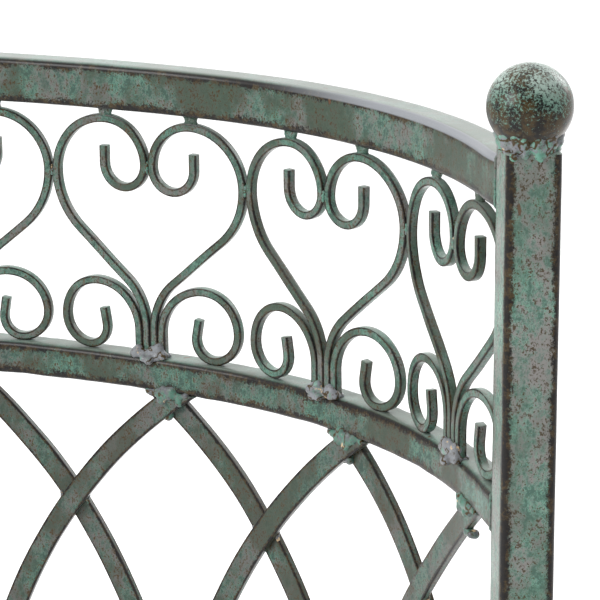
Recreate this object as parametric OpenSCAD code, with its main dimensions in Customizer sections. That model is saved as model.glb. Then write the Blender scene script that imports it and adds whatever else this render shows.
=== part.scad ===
// Free-standing trellis panel of welded iron bar, bowed in plan, with a heart scroll frieze
// under its top rail and a lattice of interlaced pointed arches below.
// The bowed side faces +Y, the hollow side faces -Y and the panel stands on z = 0.

/* [Panel] */
// Number of hearts along the frieze
hearts = 11; // [7:2:15]
// Length of one heart along the rails
heart_pitch = 119; // [96:1:146]
// Radius of the bend next to each post
end_radius = 290; // [230:5:360]
// How far the panel turns on that radius, in degrees
end_angle = 50; // [35:1:62]

/* [Posts] */
// Height of the posts
post_h = 1000; // [800:10:1300]
// Width of the square tube
post_w = 25; // [20:1:32]
// Wall of the square tube
post_wall = 2; // [1.2:0.1:3]
// Rounding of the tube's corners
post_round = 3; // [1.5:0.5:4]
// How far the post's axis lies outside the rails' middle line
post_offset = 5.5; // [0:0.5:8]

/* [Finials] */
// Diameter of the ball
ball_d = 38.5; // [32:0.5:48]
// Height of the slice cut off the ball where it sits on the post
ball_flat = 1; // [0.5:0.1:2]
// Outer diameter of the weld collar round the foot of the ball
collar_d = 28; // [24:0.5:34]
// Height of the weld collar
collar_h = 5; // [3:0.5:8]

/* [Rails] */
// Height of the top rail
top_h = 24; // [18:0.5:32]
// Width of the top rail
top_w = 18; // [14:0.5:24]
// How far the top rail lies below the top of the posts
top_drop = 6; // [0:0.5:20]
// Height of the middle and bottom rails
low_h = 18.5; // [14:0.5:26]
// Width of the middle and bottom rails
low_w = 16.5; // [14:0.5:24]
// Wall of the rails
rail_wall = 1.8; // [1.2:0.1:2.5]
// Rounding of the rails' corners
rail_round = 3; // [2:0.5:4]
// Seam between the three lengths that each rail is welded up from
rail_seam = 0.1; // [0.05:0.05:0.3]
// Clear height of the frieze, between the top and middle rails
frieze_h = 133; // [112:1:160]
// Height of the bottom rail above the ground
foot_h = 60; // [30:1:120]
// Number of hearts from each post to its back foot
foot_at = 4; // [3:1:4]

/* [Scrolls] */
// Side of the square bar that the scrolls are bent from
scroll_bar = 4.5; // [3.5:0.1:6]
// Gap left between bars that lie side by side
scroll_gap = 0.2; // [0.1:0.05:0.4]
// Radius of the hook inside each lobe of a heart
hook_r = 12.5; // [9:0.5:14]
// Straight end of that hook
hook_end = 9; // [4:0.5:12]
// Straight stretch of a heart's foot above the middle rail
foot_run = 16; // [10:0.5:20]
// First radius of the small scroll beside the foot of a heart
base_r = 25; // [19:0.5:27]
// Straight stretch of the small scroll above the middle rail
base_run = 14; // [8:0.5:18]
// Straight end of the small scroll
base_end = 9; // [4:0.5:12]
// Height of the pegs between the hearts and the top rail
peg_h = 3.5; // [2:0.5:8]
// Length of a peg along the rail
peg_w = 6; // [4:0.5:10]

/* [Lattice] */
// Width of the flat bar
lattice_w = 12.5; // [9:0.5:16]
// Thickness of the flat bar
lattice_t = 4; // [3:0.1:5]
// Distance from each post to the nearest arch head, along the rails
lattice_start = 41; // [36:1:60]
// Radius of the arches
arch_r = 319; // [250:1:400]
// How far below the middle rail the two bars of an arch head cross
head_drop = 5.5; // [0:0.5:12]
// How far the front bars lie behind the front of the middle rail
lattice_inset = 0.5; // [0:0.1:2]
// Gap between the front and the back bars
lattice_gap = 0.1; // [0.05:0.05:0.3]

/* [Hidden] */
$fn = 64;
bend_step = 9;          // degrees of bend between two corners of a scroll's outline
arch_step = 4;          // the same for an arch
strip_step = 10;        // spacing of the folds where a lattice bar follows the panel's bow
lobe_share = 0.435;     // part of a lobe's width that its inner radius takes
flank_share = 0.46;     // radius under a heart's shoulder, as a share of the largest that fits
toe_share = 0.39;       // radius above a heart's foot, as a share of the largest that fits
base_tighten = 0.86;    // how much the small scroll tightens in its second quarter turn
base_curl = 0.7;        // and in its last one
base_flare = 10;        // extra turn at the end of the small scroll, in degrees

// Plan curve: two end arcs and a middle arc, together half a turn
panel_len = hearts * heart_pitch;
end_len = end_radius * end_angle * PI / 180;
mid_angle = 180 - 2 * end_angle;
mid_radius = (panel_len - 2 * end_len) / (mid_angle * PI / 180);
end_x = (mid_radius - end_radius) * cos(end_angle);
mid_dy = (mid_radius - end_radius) * sin(end_angle);
half_span = end_radius + end_x;
bow = mid_radius - mid_dy;
rail_y = (post_w / 2 + ball_d / 2 - bow - top_w / 2) / 2;
post_x = half_span + post_offset;
post_y = rail_y - post_w / 2;

// Heights
top_z = post_h - top_drop - top_h;
frieze_z = top_z - frieze_h;
mid_z = frieze_z - low_h;
low_z = foot_h;
leg_h = mid_z - low_z - low_h;
ball_z = post_h + ball_d / 2 - ball_flat;

// Lattice
arch_pitch = (panel_len - 2 * lattice_start) / (hearts - 1);
front_face = lattice_inset - low_w / 2;
back_face = front_face + lattice_t + lattice_gap;

iron = [0.42, 0.58, 0.52];
worn_iron = [0.45, 0.44, 0.42];

// Turn of the panel at a distance s from the right post, and its point there, moved out by out
function turn(s) =
    s < end_len ? s / end_radius * 180 / PI
    : s < panel_len - end_len ? end_angle + (s - end_len) / mid_radius * 180 / PI
    : 180 - (panel_len - s) / end_radius * 180 / PI;
function arc_radius(s) = s < end_len || s >= panel_len - end_len ? end_radius : mid_radius;
function arc_centre(s) =
    s < end_len ? [end_x, rail_y]
    : s < panel_len - end_len ? [0, rail_y - mid_dy]
    : [-end_x, rail_y];
function on_plan(s, out = 0) =
    arc_centre(s) + (arc_radius(s) + out) * [cos(turn(s)), sin(turn(s))];

// A bar's path is a list of moves: [length] runs straight and [radius, angle] bends, left positive
function side_of(head) = [-sin(head), cos(head)];
function walk(at, head, moves, i = 0) =
    i == len(moves) ? []
    : len(moves[i]) == 1 ?
        let (next = at + moves[i][0] * [cos(head), sin(head)])
        concat([[next, head]], walk(next, head, moves, i + 1))
    :
        let (steps = ceil(abs(moves[i][1]) / bend_step),
             reach = sign(moves[i][1]) * moves[i][0],
             middle = at + reach * side_of(head),
             bend = [for (j = [1:steps])
                 let (h = head + moves[i][1] * j / steps) [middle - reach * side_of(h), h]])
        concat(bend, walk(bend[steps - 1][0], head + moves[i][1], moves, i + 1));
function bar_outline(at, head, moves, t) =
    let (path = concat([[at, head]], walk(at, head, moves)), last = len(path) - 1)
    concat([for (p = path) p[0] + t / 2 * side_of(p[1])],
           [for (i = [last:-1:0]) path[i][0] - t / 2 * side_of(path[i][1])]);

// Width that a heart has on its own chord, between its slanting neighbours
function chord(s0, s1) = norm(on_plan(s1) - on_plan(s0));
function heart_w(k) =
    let (s0 = (k - 1) * heart_pitch, s1 = k * heart_pitch)
    chord(s0, s1) - scroll_bar * tan((turn(s1) - turn(s0)) / 2) - scroll_gap;

// Right half of a heart: hook, over the lobe, down the flank and straight to the rail
inner_u = (scroll_bar + scroll_gap) / 2;
lobe_top = frieze_h - peg_h - scroll_bar / 2;
function lobe_span(k) = (heart_w(k) - scroll_bar) / 2 - inner_u;
function lobe_r(k) = lobe_share * lobe_span(k);
function heart_half(k) =
    let (span = lobe_span(k), r_in = lobe_r(k), r_out = span - r_in,
         drop = lobe_top - r_out - foot_run,
         r_max = (span * span + drop * drop) / (2 * span),
         r_flank = flank_share * r_max, r_toe = toe_share * r_max, r_sum = r_flank + r_toe,
         run = sqrt(pow(span - r_sum, 2) + drop * drop - r_sum * r_sum),
         lean = atan2(span - r_sum, drop) + atan2(r_sum, run))
    bar_outline([inner_u + 2 * hook_r, lobe_top - r_in + hook_end], -90,
        [[hook_end], [hook_r, -180], [r_in, -90], [r_out, -90], [r_flank, -lean], [run],
         [r_toe, lean], [foot_run]], scroll_bar);

// Right small scroll: up beside the heart's foot, over, down to the rail and up in a curl
base_u = inner_u + scroll_bar + scroll_gap;
base_low_r = base_run + base_r * (1 - base_tighten) - scroll_bar / 2 - scroll_gap;
base_half = bar_outline([base_u, 0], 90,
    [[base_run], [base_r, -90], [base_r * base_tighten, -90], [base_low_r, -90],
     [base_low_r * base_curl, -90 - base_flare], [base_end]], scroll_bar);

// One lattice bar, from the arch head at x = 0 to its upright at x = c, cut flat at both ends
function arch_bar(c) =
    let (depth = head_drop + arch_r * sin(acos(1 - c / arch_r)),
         r_out = arch_r + lattice_w / 2, r_in = arch_r - lattice_w / 2,
         a_out = asin(depth / r_out), a_in = asin(depth / r_in),
         n = ceil(a_in / arch_step), x = c - arch_r)
    concat([for (i = [n:-1:0]) [x + r_out * cos(a_out * i / n), r_out * sin(a_out * i / n) - depth]],
           [[c + lattice_w / 2, -leg_h], [c - lattice_w / 2, -leg_h]],
           [for (i = [0:n]) [x + r_in * cos(a_in * i / n), r_in * sin(a_in * i / n) - depth]]);

// Places a flat drawing upright on the chord between s0 and s1: +x to the right, +y up
module on_chord(s0, s1, z) {
    right = on_plan(s0);
    left = on_plan(s1);
    translate([(right.x + left.x) / 2, (right.y + left.y) / 2, z])
        rotate([0, 0, atan2(right.y - left.y, right.x - left.x)])
            rotate([90, 0, 0]) children();
}

module rounded_rect(w, h, r) {
    square([w - 2 * r, h], center = true);
    square([w, h - 2 * r], center = true);
    for (x = [-1, 1], y = [-1, 1]) translate([x * (w / 2 - r), y * (h / 2 - r)]) circle(r);
}

module rail(z, w, h) {
    // One hollow section in three lengths, one for each arc of the plan
    seam = rail_seam / mid_radius * 180 / PI;
    sweeps = [[[end_x, rail_y], end_radius, 0, end_angle],
              [[0, rail_y - mid_dy], mid_radius, end_angle + seam, mid_angle - 2 * seam],
              [[-end_x, rail_y], end_radius, 180 - end_angle, end_angle]];
    for (a = sweeps)
        translate([a[0].x, a[0].y, z + h / 2]) rotate([0, 0, a[2]])
            rotate_extrude(angle = a[3]) translate([a[1], 0]) difference() {
                rounded_rect(w, h, rail_round);
                rounded_rect(w - 2 * rail_wall, h - 2 * rail_wall, rail_round - rail_wall + 0.5);
            }
}

module square_tube(h) {
    // Closed at both ends by a plate as thick as its wall
    difference() {
        linear_extrude(h) rounded_rect(post_w, post_w, post_round);
        translate([0, 0, post_wall]) linear_extrude(h - 2 * post_wall)
            rounded_rect(post_w - 2 * post_wall, post_w - 2 * post_wall, post_round - post_wall + 0.5);
    }
}

module post(side) {
    color(iron) translate([side * post_x, post_y, 0]) square_tube(post_h);
}

module finial(side) {
    color(worn_iron) translate([side * post_x, post_y, 0]) difference() {
        translate([0, 0, ball_z]) sphere(d = ball_d);
        translate([0, 0, post_h - ball_d / 2]) cube(ball_d, center = true);
    }
}

module weld_collars() {
    color(worn_iron) for (side = [-1, 1]) translate([side * post_x, post_y, post_h])
        rotate_extrude() difference() {
            translate([ball_d / 4, 0]) square([collar_d / 2 - ball_d / 4, collar_h]);
            translate([0, ball_z - post_h]) circle(d = ball_d + scroll_gap);
        }
}

module top_rail() { color(iron) rail(top_z, top_w, top_h); }

module middle_rail() { color(iron) rail(mid_z, low_w, low_h); }

module bottom_rail() { color(iron) rail(low_z, low_w, low_h); }

module back_feet() {
    color(iron) for (s = [foot_at * heart_pitch, (hearts - foot_at) * heart_pitch])
        translate([on_plan(s).x, on_plan(s).y, 0]) rotate([0, 0, turn(s)]) square_tube(foot_h);
}

module frieze_pegs() {
    color(iron) for (k = [1:hearts], side = [-1, 1])
        on_chord((k - 1) * heart_pitch, k * heart_pitch, frieze_z)
            translate([side * (inner_u + lobe_r(k)), frieze_h - peg_h / 2, 0])
                cube([peg_w, peg_h, scroll_bar], center = true);
}

module scroll_pair(k) {
    on_chord((k - 1) * heart_pitch, k * heart_pitch, frieze_z)
        for (side = [0, 1]) mirror([side, 0, 0])
            linear_extrude(scroll_bar, center = true) children();
}

module heart_scroll(k) { color(iron) scroll_pair(k) polygon(heart_half(k)); }

module base_scrolls(k) { color(iron) scroll_pair(k) polygon(base_half); }

module lattice_bar(k, side, face) {
    // Drawn flat on its chord, then kept only where it lies in its own layer of the bowed panel
    s0 = lattice_start + (k - 1) * arch_pitch;
    s1 = s0 + arch_pitch;
    c = chord(s0, s1);
    folds = ceil((arch_pitch + 4 * lattice_w) / strip_step);
    strip = [for (i = [0:folds]) s0 - 2 * lattice_w + (arch_pitch + 4 * lattice_w) * i / folds];
    intersection() {
        on_chord(s0, s1, mid_z) linear_extrude(arch_pitch, center = true)
            polygon([for (p = arch_bar(c)) [side * (c / 2 - p.x), p.y]]);
        translate([0, 0, low_z]) linear_extrude(mid_z) polygon(concat(
            [for (s = strip) on_plan(s, face)],
            [for (i = [folds:-1:0]) on_plan(strip[i], face + lattice_t)]));
    }
}

module front_lattice_bar(k) { color(iron) lattice_bar(k, 1, front_face); }

module back_lattice_bar(k) { color(worn_iron) lattice_bar(k, -1, back_face); }

post(1);  // right_post
post(-1);  // left_post
finial(1);  // right_finial
finial(-1);  // left_finial
weld_collars();
top_rail();
middle_rail();
bottom_rail();
back_feet();
frieze_pegs();
for (k = [1:hearts]) heart_scroll(k);
for (k = [1:hearts]) base_scrolls(k);
for (k = [1:hearts - 1]) front_lattice_bar(k);
for (k = [1:hearts - 1]) back_lattice_bar(k);
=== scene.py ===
"""Looks of a bowed garden trellis panel: weathered green iron, scrolls, lattice bars and welds."""
import math
import random

import bpy
from mathutils import Matrix, Vector


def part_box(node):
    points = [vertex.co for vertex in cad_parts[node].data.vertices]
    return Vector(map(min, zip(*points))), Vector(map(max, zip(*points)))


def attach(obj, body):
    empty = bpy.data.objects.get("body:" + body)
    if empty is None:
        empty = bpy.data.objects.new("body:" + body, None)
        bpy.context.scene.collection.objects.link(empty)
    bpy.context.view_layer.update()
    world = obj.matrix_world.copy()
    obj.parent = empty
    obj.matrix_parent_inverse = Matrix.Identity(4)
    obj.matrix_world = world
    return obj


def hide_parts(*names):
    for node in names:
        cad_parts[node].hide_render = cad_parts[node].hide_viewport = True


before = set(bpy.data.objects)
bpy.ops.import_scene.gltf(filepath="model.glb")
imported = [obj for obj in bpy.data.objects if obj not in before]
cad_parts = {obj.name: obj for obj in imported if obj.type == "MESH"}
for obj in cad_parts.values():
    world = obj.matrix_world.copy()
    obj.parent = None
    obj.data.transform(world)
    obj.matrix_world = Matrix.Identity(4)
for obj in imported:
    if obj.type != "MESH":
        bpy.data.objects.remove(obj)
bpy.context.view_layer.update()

bl_info = {
    "name": "Garden Trellis Panel",
    "version": (1, 0, 0),
    "blender": (4, 5, 0),
    "location": "View3D > Sidebar > Trellis",
    "description": "Models the bars, finials, scrolls and welds of a bowed iron trellis panel",
    "category": "Add Mesh",
}

POST_LOW, POST_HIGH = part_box("right_post")
RAIL_LOW, RAIL_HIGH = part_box("top_rail")
MM = 0.001
DOWN, UP = math.radians(-90), math.radians(90)
PAINTED, BARE = "weathered_green_iron", "bare_iron"     # material slot names
TUCK_LENGTH = 18 * MM       # how much of each rail's end is drawn in at the post
CAMERA_AT = (0.2240, -1.3094, 1.2435)
CAMERA_TURN = (0.135, 0.264, -0.005)    # turned right, looking down and tilted, in radians
CAMERA_LENS = 162.1
SENSOR_WIDTH = 36.0


# ---------------------------------------------------------------- sizes and colours

def length(name, description, default):
    return bpy.props.FloatProperty(
        name=name, description=description, default=default, min=0.0, unit="LENGTH", precision=4)


def angle(name, description, degrees):
    return bpy.props.FloatProperty(
        name=name, description=description, default=math.radians(degrees), subtype="ANGLE")


def share(name, description, default):
    return bpy.props.FloatProperty(
        name=name, description=description, default=default, min=0.0, max=4.0)


def colour(name, description, default):
    return bpy.props.FloatVectorProperty(
        name=name, description=description, default=default, size=3, min=0.0, max=1.0,
        subtype="COLOR")


class TrellisPanelSizes(bpy.types.PropertyGroup):
    """Sizes of the panel, its posts and its rails"""
    hearts: bpy.props.IntProperty(
        name="Hearts", description="Number of hearts along the frieze", default=11, min=7, max=15)
    foot_at: bpy.props.IntProperty(
        name="Foot at", description="Hearts from each post to its back foot", default=4)
    heart_pitch: length("Heart pitch", "Length of one heart along the rails", 0.119)
    end_radius: length("End radius", "Radius of the bend next to each post", 0.290)
    end_angle: angle("End angle", "How far the panel turns on that radius", 50)
    post_height: length("Post height", "Height of the posts", POST_HIGH.z)
    post_width: length("Post width", "Width of the square tube", POST_HIGH.x - POST_LOW.x)
    post_rounding: length("Post rounding", "Rounding of the tube's corners", 0.003)
    post_offset: length("Post offset", "How far the post lies outside the rails' middle line", 0.0055)
    ball: length("Ball", "Diameter of the ball", 0.0385)
    ball_flat: length("Ball flat", "Slice cut off the ball where it sits on the post", 0.001)
    collar: length("Collar", "Diameter of the weld collar under the ball", 0.028)
    top_height: length("Top rail height", "Height of the top rail", RAIL_HIGH.z - RAIL_LOW.z)
    top_width: length("Top rail width", "Width of the top rail", 0.018)
    top_drop: length("Top rail drop", "Top rail's depth below the post tops", POST_HIGH.z - RAIL_HIGH.z)
    low_height: length("Low rail height", "Height of the middle and bottom rails", 0.0185)
    low_width: length("Low rail width", "Width of the middle and bottom rails", 0.0165)
    rail_rounding: length("Rail rounding", "Rounding of the rails' corners", 0.003)
    frieze_height: length("Frieze height", "Clear height between the top and middle rails", 0.133)
    foot_height: length("Foot height", "Height of the bottom rail above the ground", 0.060)


class TrellisBarSizes(bpy.types.PropertyGroup):
    """Sizes of the scrolls and of the lattice"""
    bar: length("Scroll bar", "Side of the square bar of the scrolls", 0.0045)
    gap: length("Scroll gap", "Gap between bars that lie side by side", 0.0002)
    hook_radius: length("Hook radius", "Radius of the hook inside each lobe", 0.0125)
    hook_end: length("Hook end", "Straight end of the hook", 0.009)
    foot_run: length("Foot run", "Straight stretch of a heart's foot", 0.016)
    base_radius: length("Small scroll radius", "First radius of the small scroll", 0.025)
    base_run: length("Small scroll run", "Straight stretch of the small scroll", 0.014)
    base_end: length("Small scroll end", "Straight end of the small scroll", 0.009)
    peg_height: length("Peg height", "Height of the pegs over the hearts", 0.0035)
    lattice_width: length("Lattice width", "Width of the flat bar", 0.0125)
    lattice_depth: length("Lattice thickness", "Thickness of the flat bar", 0.004)
    lattice_start: length("Lattice start", "From each post to the nearest arch head", 0.041)
    arch_radius: length("Arch radius", "Radius of the arches", 0.319)
    head_drop: length("Head drop", "Where the bars of an arch head cross, below the rail", 0.0055)
    lattice_inset: length("Lattice inset", "Front bars' depth behind the rail's front", 0.0005)
    lattice_gap: length("Lattice gap", "Gap between the front and the back bars", 0.0001)
    lobe_share: share("Lobe share", "Part of a lobe's width that its inner radius takes", 0.435)
    flank_share: share("Flank share", "Radius under a heart's shoulder", 0.46)
    toe_share: share("Toe share", "Radius above a heart's foot", 0.39)
    base_tighten: share("Small scroll tightening", "Second radius of the small scroll", 0.86)
    base_curl: share("Small scroll curl", "Last radius of the small scroll", 0.7)
    base_flare: angle("Small scroll flare", "Extra turn at the end of the small scroll", 10)


class TrellisColours(bpy.types.PropertyGroup):
    """Colours of the weathered paint and of the iron under it"""
    green: colour("Green", "Verdigris green paint", (0.125, 0.300, 0.225))
    deep_green: colour("Deep green", "The paint where it is thick and shaded", (0.040, 0.078, 0.062))
    grey: colour("Grey", "Grey bloom where the paint has worn thin", (0.134, 0.129, 0.123))
    bare: colour("Bare iron", "Brown-black iron along the worn edges", (0.044, 0.028, 0.010))
    black: colour("Black iron", "Deepest tone of the iron", (0.006, 0.005, 0.005))
    rust: colour("Rust", "Rust in chips and on weld spatter", (0.105, 0.050, 0.022))
    tan: colour("Tan", "Dried residue beside the welds", (0.420, 0.310, 0.190))
    # Pale green is a painted highlight, on the upward faces of the bars and on the top of the ball.
    pale: colour("Pale green", "Chalky paint on upward faces", (0.360, 0.430, 0.390))
    # Lilac grey is the weld metal, and also a painted highlight on the top rail's corner beside the posts.
    lilac: colour("Lilac grey", "Bare weld metal and the worn corner beside the posts", (0.19, 0.20, 0.215))
    floor: colour("Floor", "Plain pale floor", (0.92, 0.92, 0.92))


# ---------------------------------------------------------------- plan of the panel

class Plan:
    """The bow of the panel in plan, two end arcs and a middle one, and the heights up the post."""

    def __init__(self, size):
        self.pitch = size.heart_pitch
        self.length = size.hearts * size.heart_pitch
        self.end_radius = size.end_radius
        self.end_angle = size.end_angle
        self.end_length = size.end_radius * size.end_angle
        self.mid_angle = math.pi - 2 * size.end_angle
        self.mid_radius = (self.length - 2 * self.end_length) / self.mid_angle
        self.end_x = (self.mid_radius - size.end_radius) * math.cos(size.end_angle)
        self.mid_dy = (self.mid_radius - size.end_radius) * math.sin(size.end_angle)
        bow = self.mid_radius - self.mid_dy
        self.rail_y = (size.post_width / 2 + size.ball / 2 - bow - size.top_width / 2) / 2
        self.post_x = size.end_radius + self.end_x + size.post_offset
        self.post_y = self.rail_y - size.post_width / 2
        self.top_z = size.post_height - size.top_drop - size.top_height
        self.frieze_z = self.top_z - size.frieze_height
        self.mid_z = self.frieze_z - size.low_height
        self.low_z = size.foot_height
        self.leg_height = self.mid_z - self.low_z - size.low_height

    def turn(self, s):
        """Direction in which the panel faces outwards at a distance s from the right post."""
        if s < self.end_length:
            return s / self.end_radius
        if s < self.length - self.end_length:
            return self.end_angle + (s - self.end_length) / self.mid_radius
        return math.pi - (self.length - s) / self.end_radius

    def point(self, s, out=0.0):
        """Point of the rails' middle line at s, moved outwards by out."""
        if s < self.end_length:
            centre, radius = Vector((self.end_x, self.rail_y)), self.end_radius
        elif s < self.length - self.end_length:
            centre, radius = Vector((0.0, self.rail_y - self.mid_dy)), self.mid_radius
        else:
            centre, radius = Vector((-self.end_x, self.rail_y)), self.end_radius
        turn = self.turn(s)
        return centre + (radius + out) * Vector((math.cos(turn), math.sin(turn)))

    def chord(self, s0, s1):
        return (self.point(s1) - self.point(s0)).length

    def on_chord(self, s0, s1, z):
        """Places a drawing in the XZ plane on the chord between s0 and s1, +X to the right."""
        right, left = self.point(s0), self.point(s1)
        middle = (right + left) / 2
        heading = math.atan2(right.y - left.y, right.x - left.x)
        return Matrix.Translation((middle.x, middle.y, z)) @ Matrix.Rotation(heading, 4, "Z")

    def on_heart(self, k):
        """Places a drawing of heart k, counted from 1 at the right post, on its own chord."""
        return self.on_chord((k - 1) * self.pitch, k * self.pitch, self.frieze_z)

    def on_rail(self, s, z, out=0.0):
        """Places a drawing on the rail at s, +X to the right along it and -Y to its hollow side."""
        at = self.point(s, out)
        return (Matrix.Translation((at.x, at.y, z))
                @ Matrix.Rotation(self.turn(s) - math.pi / 2, 4, "Z"))


def panel_sizes():
    return bpy.context.scene.trellis_panel


def bar_sizes():
    return bpy.context.scene.trellis_bars


def colours():
    return bpy.context.scene.trellis_colours


# ---------------------------------------------------------------- modelling by hand

def only(piece):
    """Deselects everything but this piece and makes it active."""
    bpy.ops.object.select_all(action="DESELECT")
    piece.select_set(True)
    bpy.context.view_layer.objects.active = piece


def edit_all(piece):
    only(piece)
    bpy.ops.object.mode_set(mode="EDIT")
    bpy.ops.mesh.select_all(action="SELECT")


def leave_edit():
    bpy.ops.object.mode_set(mode="OBJECT")


def face_outward(piece):
    edit_all(piece)
    bpy.ops.mesh.normals_make_consistent(inside=False)
    leave_edit()


def apply_modifier(piece, kind, **settings):
    only(piece)
    modifier = piece.modifiers.new(kind.title(), kind)
    for name, value in settings.items():
        setattr(modifier, name, value)
    bpy.ops.object.modifier_apply(modifier=modifier.name)


def put(piece, matrix):
    """Moves the piece's mesh, so that its object stays at the origin."""
    piece.data.transform(matrix)
    piece.data.update()


def copy_of(piece, name, matrix):
    made = bpy.data.objects.new(name, piece.data.copy())
    bpy.context.scene.collection.objects.link(made)
    put(made, matrix)
    return made


def remove(*pieces):
    for piece in pieces:
        bpy.data.meshes.remove(piece.data)


def joined(pieces, name):
    bpy.ops.object.select_all(action="DESELECT")
    for piece in pieces:
        piece.select_set(True)
    bpy.context.view_layer.objects.active = pieces[0]
    bpy.ops.object.join()
    made = bpy.context.object
    made.name = made.data.name = name
    return made


def add_section(name, width, depth, rounding, rings, cuts):
    """Adds a bar's cross-section, face up at the origin, each point knowing its place in it."""
    bpy.ops.object.select_all(action="DESELECT")
    bpy.ops.mesh.primitive_plane_add(size=1)
    piece = bpy.context.object
    piece.name = piece.data.name = name
    piece.scale = (width, depth, 1)
    bpy.ops.object.transform_apply(scale=True)
    edit_all(piece)
    bpy.ops.mesh.bevel(offset=rounding, segments=rings, affect="VERTICES")
    bpy.ops.mesh.delete(type="ONLY_FACE")
    leave_edit()
    only(piece)
    bpy.ops.object.mode_set(mode="EDIT")
    bpy.ops.mesh.select_mode(type="EDGE")
    leave_edit()
    points = piece.data.vertices
    for edge in piece.data.edges:
        a, b = (points[i].co for i in edge.vertices)
        edge.select = (a - b).length > rounding
    bpy.ops.object.mode_set(mode="EDIT")
    bpy.ops.mesh.subdivide(number_cuts=cuts)
    bpy.ops.mesh.select_all(action="SELECT")
    bpy.ops.mesh.edge_face_add()
    bpy.ops.mesh.select_mode(type="FACE")
    leave_edit()
    place = piece.data.attributes.new("section", "FLOAT_VECTOR", "POINT")
    for point, entry in zip(piece.data.vertices, place.data):
        entry.vector = point.co / MM
    return piece


def bend_bar(name, at, heading, moves, width, depth, rounding, step, rings=2, cuts=1, ease=0.0):
    """Runs a bar through straight [length] and bent [radius, angle] moves in the XZ plane.

    A bend to the left is positive. ease rounds the rims of both cut ends."""
    piece = add_section(name, width, depth, rounding, rings, cuts)
    start = at = Vector((at[0], 0.0, at[1]))
    first = Vector((math.cos(heading), 0.0, math.sin(heading)))
    piece.location = at
    piece.rotation_euler = (0.0, UP - heading, 0.0)
    bpy.ops.object.transform_apply(location=True, rotation=True)
    edit_all(piece)
    for move in moves:
        ahead = Vector((math.cos(heading), 0.0, math.sin(heading)))
        if len(move) == 1:
            count = math.ceil(move[0] / step)
            for _ in range(count):
                bpy.ops.mesh.extrude_region_move(
                    TRANSFORM_OT_translate={"value": ahead * move[0] / count})
            at = at + ahead * move[0]
            continue
        radius, bend = move
        side = math.copysign(1.0, bend)
        centre = at + side * radius * Vector((-math.sin(heading), 0.0, math.cos(heading)))
        bpy.ops.mesh.spin(
            steps=max(2, math.ceil(radius * abs(bend) / step)), angle=abs(bend), center=centre,
            axis=(0.0, side, 0.0))
        heading += bend
        at = centre - side * radius * Vector((-math.sin(heading), 0.0, math.cos(heading)))
    if ease:
        ahead = Vector((math.cos(heading), 0.0, math.sin(heading)))
        ease_end(piece, at, ahead, ease)
        ease_end(piece, start, -first, ease)
    bpy.ops.mesh.select_all(action="SELECT")
    bpy.ops.mesh.normals_make_consistent(inside=False)
    leave_edit()
    return piece


def ease_end(piece, at, ahead, ease):
    """Insets the cut face at a bar's end and draws it out a little."""
    leave_edit()
    for face in piece.data.polygons:
        face.select = (face.center - at).length < ease and abs(face.normal.dot(ahead)) > 0.9
    bpy.ops.object.mode_set(mode="EDIT")
    bpy.ops.mesh.inset(thickness=ease)
    bpy.ops.transform.translate(value=ahead * ease * 0.6)


def soft_shade(piece, degrees=38):
    only(piece)
    bpy.ops.object.shade_smooth_by_angle(angle=math.radians(degrees))


def clouds(name, size, depth=2):
    texture = bpy.data.textures.get(name) or bpy.data.textures.new(name, "CLOUDS")
    texture.noise_scale = size
    texture.noise_depth = depth
    texture.cloud_type = "COLOR"
    return texture


def hand_worked(piece, wander, dents, dent_size=0.012):
    """Bends the piece slightly out of true and leaves the marks of the hammer in it."""
    if wander:
        apply_modifier(
            piece, "DISPLACE", texture=clouds("Bent by hand", 0.09), texture_coords="GLOBAL",
            direction="RGB_TO_XYZ", strength=wander, mid_level=0.5)
    apply_modifier(
        piece, "DISPLACE", texture=clouds("Hammered", dent_size, 1), texture_coords="GLOBAL",
        direction="NORMAL", strength=dents, mid_level=0.5)


def lumps(name, balls, voxel, roughness, smoothing=4):
    """Runs balls of weld, each (x, y, z, radius), together into one lumpy bead."""
    drops = []
    for x, y, z, radius in balls:
        bpy.ops.object.select_all(action="DESELECT")
        bpy.ops.mesh.primitive_ico_sphere_add(subdivisions=2, radius=radius, location=(x, y, z))
        bpy.ops.object.transform_apply(location=True)
        drops.append(bpy.context.object)
    bead = joined(drops, name)
    apply_modifier(bead, "REMESH", mode="VOXEL", voxel_size=voxel)
    apply_modifier(bead, "SMOOTH", factor=0.5, iterations=smoothing)
    apply_modifier(
        bead, "DISPLACE", texture=clouds("Weld ripple", 0.005, 1), texture_coords="GLOBAL",
        direction="NORMAL", strength=roughness, mid_level=0.5)
    return bead


def in_mm(*drops):
    """Drops of weld given in millimetres, for lumps."""
    return [tuple(value * MM for value in drop) for drop in drops]


def settle(piece, material, slot, *nodes):
    """Shades the finished piece smooth, gives it its material and its body, and hides the parts that it
    stands for.
    """
    soft_shade(piece)
    piece.data.materials.clear()
    piece.data.materials.append(material)
    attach(piece, "root")
    if nodes:
        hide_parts(*nodes)


# ---------------------------------------------------------------- materials

def new_group(name, inputs, outputs):
    """Starts a node group with these sockets and returns it with its two end nodes."""
    group = bpy.data.node_groups.new(name, "ShaderNodeTree")
    for label, kind, default in inputs:
        socket = group.interface.new_socket(name=label, in_out="INPUT", socket_type=kind)
        if default is not None:
            socket.default_value = default
    for label, kind in outputs:
        group.interface.new_socket(name=label, in_out="OUTPUT", socket_type=kind)
    return group, group.nodes.new("NodeGroupInput"), group.nodes.new("NodeGroupOutput")


def add(tree, kind, inputs=None, **settings):
    """Adds a node, sets its properties and fills its inputs with values or with other sockets."""
    made = tree.nodes.new("ShaderNode" + kind)
    for name, value in settings.items():
        setattr(made, name, value)
    feed(tree, made, inputs or {})
    return made


def feed(tree, node, inputs):
    """Links each of the node's inputs to a socket, or sets it to a value."""
    for key, value in inputs.items():
        if isinstance(value, bpy.types.NodeSocket):
            tree.links.new(value, node.inputs[key])
        else:
            node.inputs[key].default_value = value


def calc(tree, operation, a, b=0.0):
    return add(tree, "Math", {0: a, 1: b}, operation=operation).outputs[0]


def plus(tree, a, b):
    return calc(tree, "ADD", a, b)


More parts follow.
